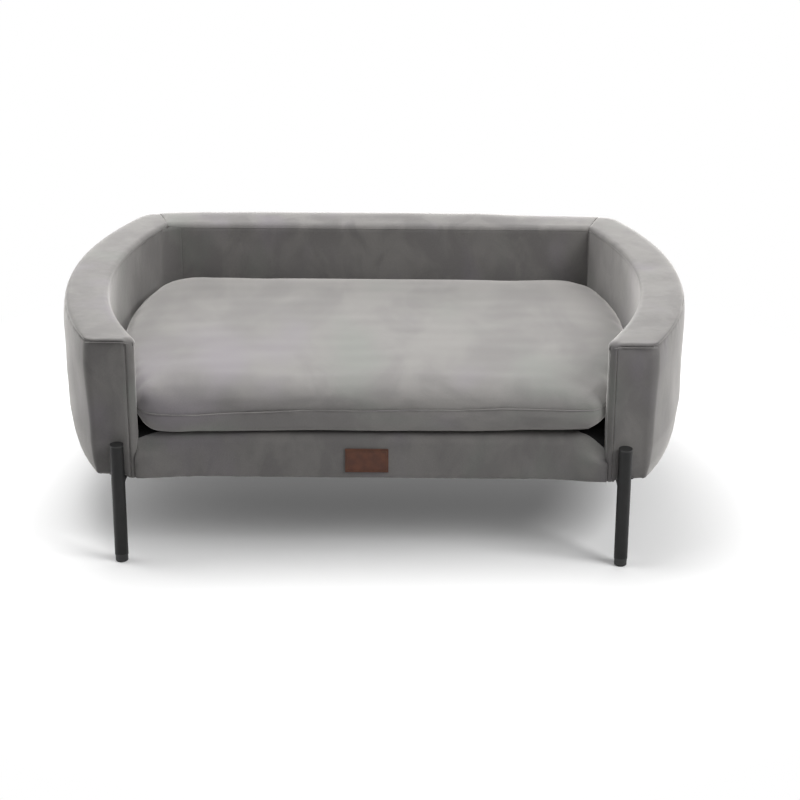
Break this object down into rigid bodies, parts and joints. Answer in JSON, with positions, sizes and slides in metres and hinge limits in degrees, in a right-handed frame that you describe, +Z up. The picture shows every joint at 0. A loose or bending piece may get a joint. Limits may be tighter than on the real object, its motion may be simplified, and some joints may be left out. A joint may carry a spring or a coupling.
{
  "type": "dog sofa bed",
  "caption": "Upholstered dog sofa bed with bowed arms, a straight back, slim tube legs with levelling feet and a loose boxed cushion.",
  "frame": {"origin": "on the floor under the middle of the bed", "axes": "+X to the right as seen from the front, +Y to the rear, +Z up"},
  "size_m": [0.904, 0.5996, 0.328],
  "materials": {
    "velvet": "short grey velvet pile",
    "foam": "cut upholstery foam",
    "plywood": "raw birch plywood",
    "black_steel": "satin black powder coat",
    "black_plastic": "moulded black nylon",
    "nonwoven": "black spun-bonded cloth",
    "leather": "brown split leather",
    "zinc_steel": "bright zinc plate",
    "zip_tape": "woven tape with a nylon coil"
  },
  "bodies": {
    "tub": {"base_board": "plywood", "dust_cloth": "nonwoven", "base_rails": "plywood", "seat_deck": "plywood", "deck_cloth": "nonwoven", "apron_foam": "foam", "apron_cover": "velvet", "leather_patch": "leather", "left_arm_frame": "plywood", "left_arm_foam": "foam", "left_arm_cover": "velvet", "left_arm_facing": "velvet", "right_arm_frame": "plywood", "right_arm_foam": "foam", "right_arm_cover": "velvet", "right_arm_facing": "velvet", "back_frame": "plywood", "back_foam": "foam", "back_cover": "velvet", "front_left_leg": "black_steel", "front_left_tube_cap": "black_plastic", "front_left_foot_insert": "black_plastic", "front_right_leg": "black_steel", "front_right_tube_cap": "black_plastic", "front_right_foot_insert": "black_plastic", "rear_left_leg": "black_steel", "rear_left_tube_cap": "black_plastic", "rear_left_foot_insert": "black_plastic", "rear_right_leg": "black_steel", "rear_right_tube_cap": "black_plastic", "rear_right_foot_insert": "black_plastic", "leg_bolts": "zinc_steel", "leg_t_nuts": "zinc_steel", "frame_screws": "zinc_steel", "seam_bolts": "zinc_steel"},
    "front_left_foot": {"front_left_levelling_foot": "black_plastic"},
    "front_right_foot": {"front_right_levelling_foot": "black_plastic"},
    "rear_left_foot": {"rear_left_levelling_foot": "black_plastic"},
    "rear_right_foot": {"rear_right_levelling_foot": "black_plastic"},
    "cushion": {"cushion_cover": "velvet", "cushion_foam": "foam", "cushion_zip_tape": "zip_tape"},
    "zip_slider": {"zip_slider": "zinc_steel"}
  },
  "joints": [
    {"name": "cushion_lift", "type": "slide", "parent": "tub", "child": "cushion", "axis": [0, 0, 1], "range_m": [0, 0.18]},
    {"name": "zip_slide", "type": "slide", "parent": "cushion", "child": "zip_slider", "axis": [1, 0, 0], "range_m": [0, 0.41]},
    {"name": "front_left_foot_screw", "type": "slide", "parent": "tub", "child": "front_left_foot", "axis": [0, 0, -1], "range_m": [0, 0.008]},
    {"name": "front_right_foot_screw", "type": "slide", "parent": "tub", "child": "front_right_foot", "axis": [0, 0, -1], "range_m": [0, 0.008]},
    {"name": "rear_left_foot_screw", "type": "slide", "parent": "tub", "child": "rear_left_foot", "axis": [0, 0, -1], "range_m": [0, 0.008]},
    {"name": "rear_right_foot_screw", "type": "slide", "parent": "tub", "child": "rear_right_foot", "axis": [0, 0, -1], "range_m": [0, 0.008]}
  ]
}
